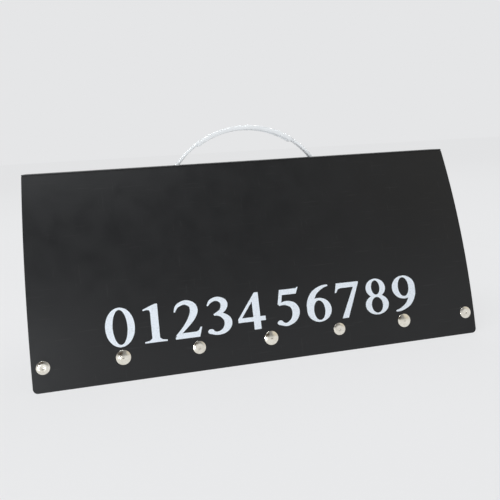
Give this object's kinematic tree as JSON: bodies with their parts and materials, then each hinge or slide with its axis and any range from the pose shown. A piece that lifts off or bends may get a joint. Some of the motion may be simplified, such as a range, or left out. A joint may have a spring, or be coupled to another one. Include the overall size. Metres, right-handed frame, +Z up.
{
  "type": "flip score board",
  "caption": "Folding table-top score board: a bowed black plastic sheet tent with snap fasteners, a white carrying handle, and flip number cards on binding rings.",
  "frame": {"origin": "centre of the footprint on the surface that the board stands on", "axes": "+X along the board, -Y the plain printed side with the fastener row, +Y the number cards' side, +Z up"},
  "size_m": [0.4, 0.1504, 0.2059],
  "materials": {
    "black_sheet": "satin",
    "white_handle": "satin",
    "snap_caps": "polished",
    "snap_parts": "satin",
    "grommets": "satin",
    "rings": "polished",
    "number_cards": "satin",
    "white_print": "satin",
    "red_print": "satin",
    "blue_print": "satin",
    "black_print": "satin"
  },
  "bodies": {
    "base_flap": {"base_flap": "black_sheet"},
    "base_lip": {"base_lip": "black_sheet", "stand_studs": "snap_parts", "stand_eyelets": "snap_parts"},
    "rear_panel": {"rear_panel": "black_sheet", "closing_sockets": "snap_parts", "closing_caps": "snap_caps", "ring_grommets": "grommets", "home_tens_rings": "rings", "home_units_rings": "rings", "home_sets_rings": "rings", "away_sets_rings": "rings", "away_tens_rings": "rings", "away_units_rings": "rings"},
    "spine": {"spine": "black_sheet"},
    "carry_handle": {"carry_handle": "white_handle"},
    "front_panel": {"front_panel": "black_sheet", "stand_caps": "snap_caps", "stand_sockets": "snap_parts", "closing_eyelets": "snap_parts", "closing_studs": "snap_parts"},
    "home_tens_deck": {"home_tens_deck": "number_cards"},
    "home_tens_front_card": {"home_tens_front_card": "number_cards"},
    "home_units_deck": {"home_units_deck": "number_cards"},
    "home_units_front_card": {"home_units_front_card": "number_cards"},
    "home_sets_deck": {"home_sets_deck": "number_cards"},
    "home_sets_front_card": {"home_sets_front_card": "number_cards"},
    "away_sets_deck": {"away_sets_deck": "number_cards"},
    "away_sets_front_card": {"away_sets_front_card": "number_cards"},
    "away_tens_deck": {"away_tens_deck": "number_cards"},
    "away_tens_front_card": {"away_tens_front_card": "number_cards"},
    "away_units_deck": {"away_units_deck": "number_cards"},
    "away_units_front_card": {"away_units_front_card": "number_cards"}
  },
  "joints": [
    {"name": "rear_panel_fold", "type": "hinge", "parent": "base_flap", "child": "rear_panel", "pos_m": [0, 0.07403, 0.0012], "axis": [-1, 0, 0], "range_deg": [0, 100]},
    {"name": "spine_fold", "type": "hinge", "parent": "rear_panel", "child": "spine", "pos_m": [0, 0.00926, 0.1717], "axis": [-1, 0, 0], "range_deg": [0, 20]},
    {"name": "front_panel_swing", "type": "hinge", "parent": "spine", "child": "front_panel", "pos_m": [0, -0.00874, 0.1717], "axis": [-1, 0, 0], "range_deg": [0, 130]},
    {"name": "base_lip_fold", "type": "hinge", "parent": "base_flap", "child": "base_lip", "pos_m": [0, -0.06696, 0.0012], "axis": [-1, 0, 0], "range_deg": [0, 65]},
    {"name": "handle_tilt", "type": "hinge", "parent": "spine", "child": "carry_handle", "pos_m": [0, 0.00026, 0.1723], "axis": [1, 0, 0], "range_deg": [-10, 10]},
    {"name": "home_tens_deck_flip", "type": "hinge", "parent": "rear_panel", "child": "home_tens_deck", "pos_m": [0, 0.02111, 0.1608], "axis": [-1, 0, 0], "range_deg": [-165, 0]},
    {"name": "home_tens_card_flip", "type": "hinge", "parent": "home_tens_deck", "child": "home_tens_front_card", "pos_m": [0, 0.02111, 0.1608], "axis": [1, 0, 0], "range_deg": [0, 165]},
    {"name": "home_units_deck_flip", "type": "hinge", "parent": "rear_panel", "child": "home_units_deck", "pos_m": [0, 0.02111, 0.1608], "axis": [-1, 0, 0], "range_deg": [-165, 0]},
    {"name": "home_units_card_flip", "type": "hinge", "parent": "home_units_deck", "child": "home_units_front_card", "pos_m": [0, 0.02111, 0.1608], "axis": [1, 0, 0], "range_deg": [0, 165]},
    {"name": "home_sets_deck_flip", "type": "hinge", "parent": "rear_panel", "child": "home_sets_deck", "pos_m": [0, 0.02111, 0.1608], "axis": [-1, 0, 0], "range_deg": [-165, 0]},
    {"name": "home_sets_card_flip", "type": "hinge", "parent": "home_sets_deck", "child": "home_sets_front_card", "pos_m": [0, 0.02111, 0.1608], "axis": [1, 0, 0], "range_deg": [0, 165]},
    {"name": "away_sets_deck_flip", "type": "hinge", "parent": "rear_panel", "child": "away_sets_deck", "pos_m": [0, 0.02111, 0.1608], "axis": [-1, 0, 0], "range_deg": [-165, 0]},
    {"name": "away_sets_card_flip", "type": "hinge", "parent": "away_sets_deck", "child": "away_sets_front_card", "pos_m": [0, 0.02111, 0.1608], "axis": [1, 0, 0], "range_deg": [0, 165]},
    {"name": "away_tens_deck_flip", "type": "hinge", "parent": "rear_panel", "child": "away_tens_deck", "pos_m": [0, 0.02111, 0.1608], "axis": [-1, 0, 0], "range_deg": [-165, 0]},
    {"name": "away_tens_card_flip", "type": "hinge", "parent": "away_tens_deck", "child": "away_tens_front_card", "pos_m": [0, 0.02111, 0.1608], "axis": [1, 0, 0], "range_deg": [0, 165]},
    {"name": "away_units_deck_flip", "type": "hinge", "parent": "rear_panel", "child": "away_units_deck", "pos_m": [0, 0.02111, 0.1608], "axis": [-1, 0, 0], "range_deg": [-165, 0]},
    {"name": "away_units_card_flip", "type": "hinge", "parent": "away_units_deck", "child": "away_units_front_card", "pos_m": [0, 0.02111, 0.1608], "axis": [1, 0, 0], "range_deg": [0, 165]}
  ],
  "couplings": [
    {"joint": "spine_fold", "follows": "front_panel_swing", "ratio": 0.15}
  ]
}
